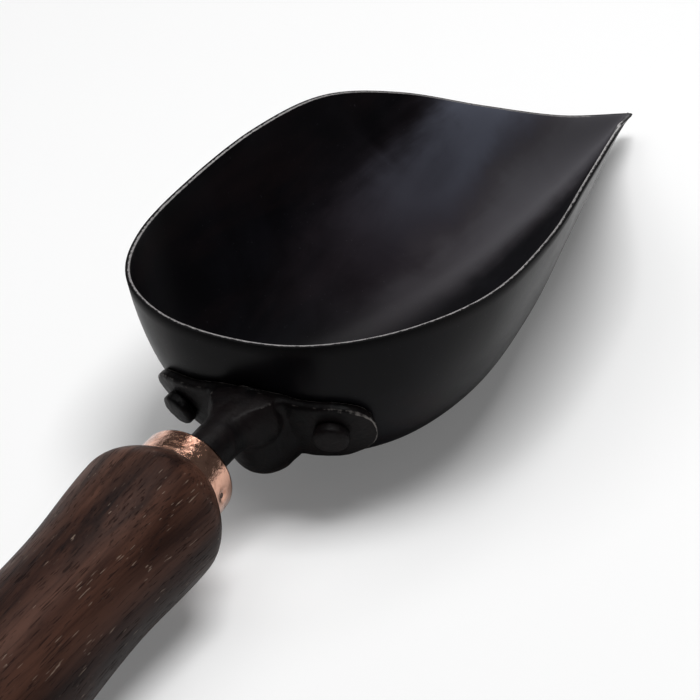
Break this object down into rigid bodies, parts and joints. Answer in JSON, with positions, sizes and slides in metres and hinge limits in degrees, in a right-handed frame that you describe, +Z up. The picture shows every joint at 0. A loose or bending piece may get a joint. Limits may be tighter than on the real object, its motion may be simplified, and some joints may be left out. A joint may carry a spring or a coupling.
{
  "type": "grain scoop shovel",
  "caption": "One-hand grain scoop with a leaf-shaped pressed steel bowl that runs to a point, a riveted forged bracket, a copper ferrule and a turned wooden handle.",
  "frame": {"origin": "on the ground under the middle of the scoop's box, as it lies on the bowl's keel and the handle's end", "axes": "+Y from the handle's end to the bowl's tip, +Z up, +X to the right of someone who looks along +Y"},
  "size_m": [0.1008, 0.3506, 0.0511],
  "materials": {
    "bowl_steel": "blackened, satin",
    "bracket_steel": "blackened, forged",
    "copper": "polished copper",
    "pin_metal": "dark",
    "walnut": "oiled"
  },
  "bodies": {
    "root": {"scoop_bowl": "bowl_steel", "handle_bracket": "bracket_steel", "left_rivet": "bracket_steel", "right_rivet": "bracket_steel", "ferrule": "copper", "ferrule_pin": "pin_metal", "wood_handle": "walnut"}
  },
  "joints": []
}
